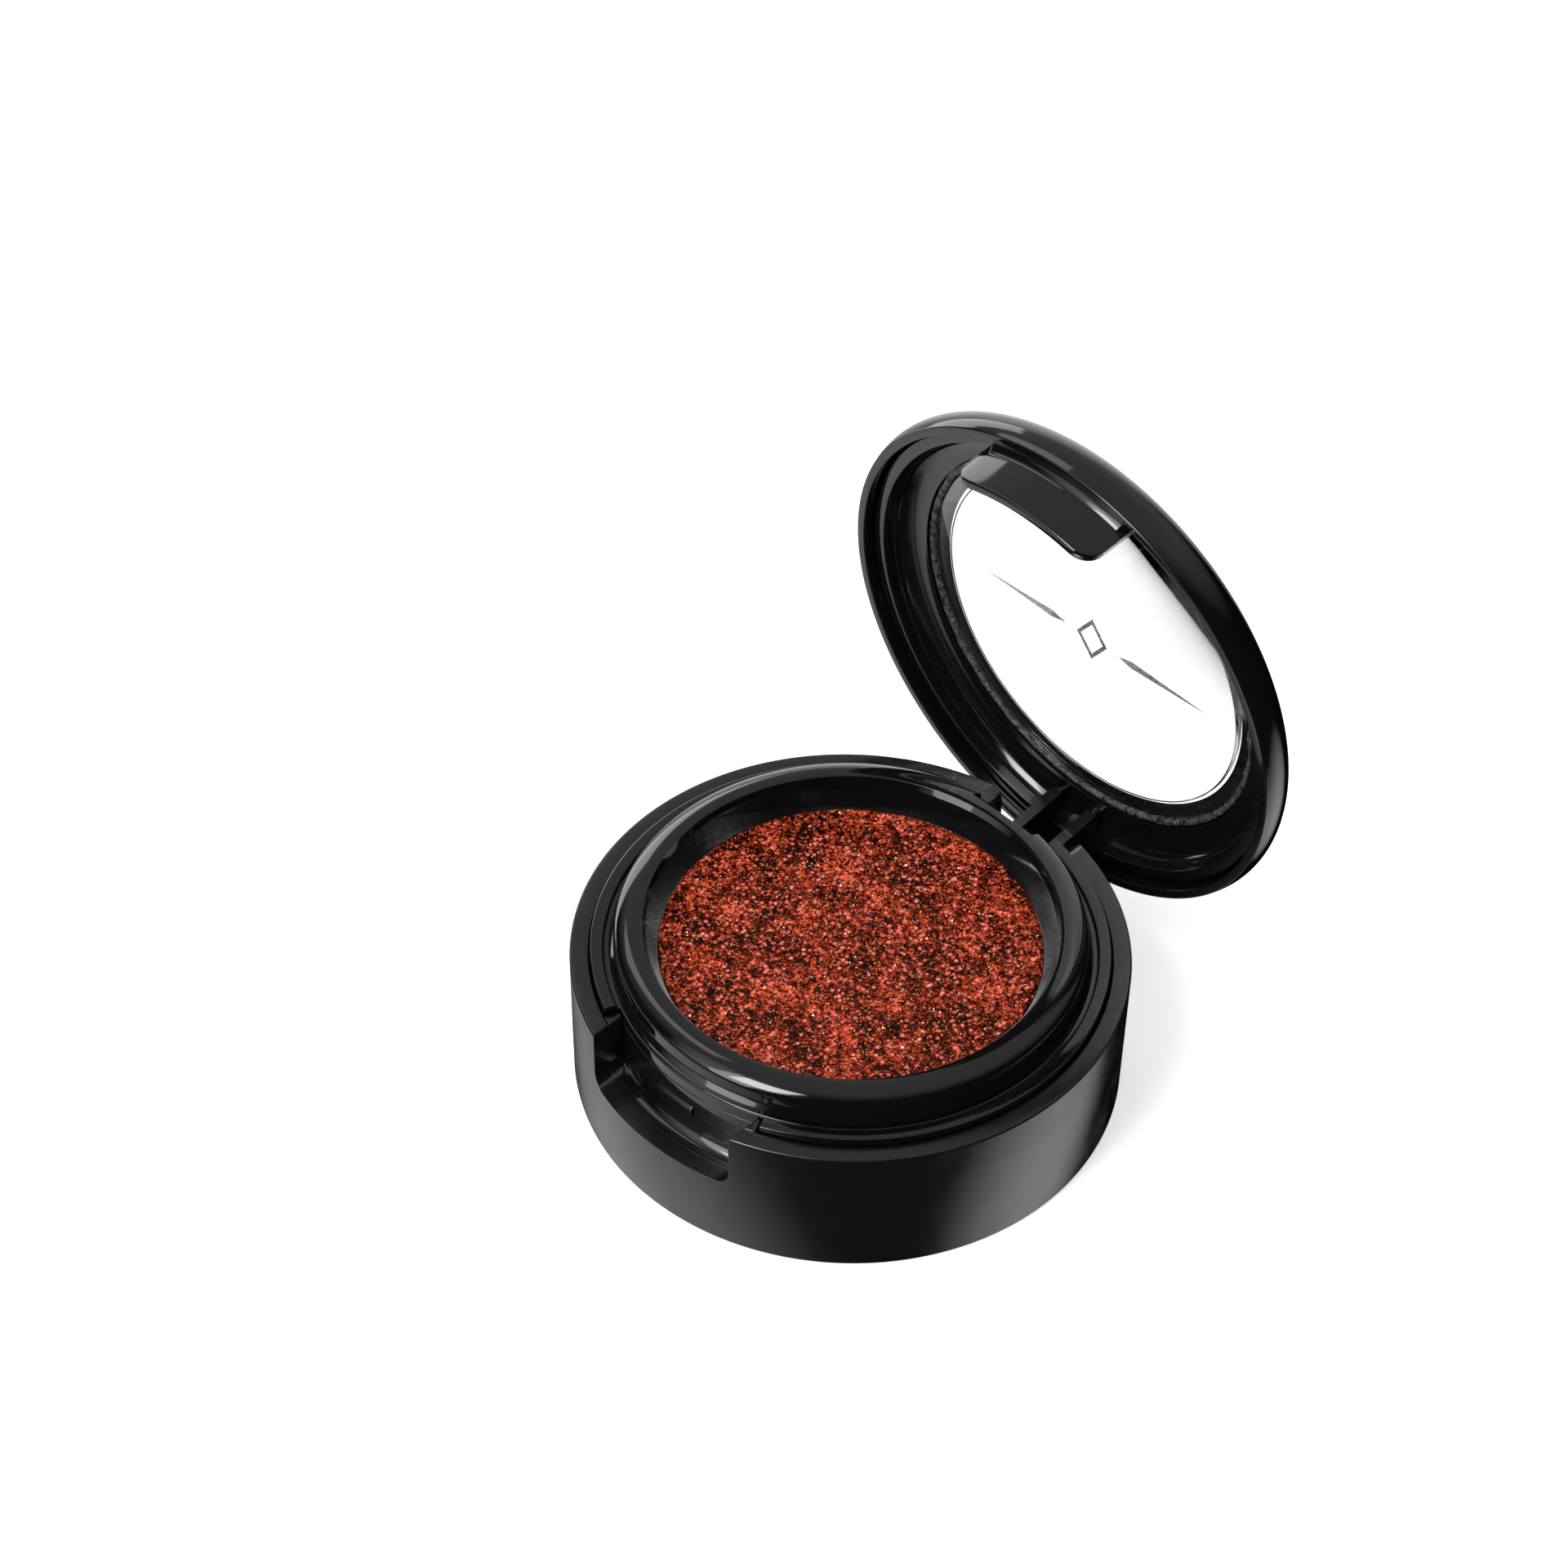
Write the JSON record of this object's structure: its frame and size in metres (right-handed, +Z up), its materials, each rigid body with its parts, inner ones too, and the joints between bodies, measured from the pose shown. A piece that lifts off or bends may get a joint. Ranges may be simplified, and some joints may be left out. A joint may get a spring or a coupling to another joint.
{
  "type": "eyeshadow compact",
  "caption": "Round single-shade eyeshadow compact with a thumb notch, pressed powder in a pan and a hinged lid with a clear window.",
  "frame": {"origin": "middle of the flat underside of the base", "axes": "+Z up, -Y towards the thumb notch, hinge at +Y with its axis along X"},
  "size_m": [0.038, 0.0436, 0.043],
  "materials": {
    "shell_plastic": "satin black",
    "frame_plastic": "gloss black",
    "tinplate": "satin",
    "powder": "pressed powder with metallic flecks",
    "pan_glue": "soft",
    "steel": "satin",
    "lid_plastic": "gloss black",
    "lining_plastic": "satin black",
    "clear_plastic": "clear",
    "window_glue": "rough"
  },
  "bodies": {
    "base": {"base_shell": "shell_plastic", "inner_frame": "frame_plastic", "pan": "tinplate", "powder": "powder", "pan_adhesive": "pan_glue", "hinge_pin": "steel"},
    "lid": {"lid_ring": "lid_plastic", "lid_inner_ring": "lining_plastic", "window": "clear_plastic", "window_glue": "window_glue"}
  },
  "joints": [
    {"name": "lid_hinge", "type": "hinge", "parent": "base", "child": "lid", "pos_m": [0, 0.01675, 0.00705], "axis": [-1, 0, 0], "range_deg": [-86, 9]}
  ]
}
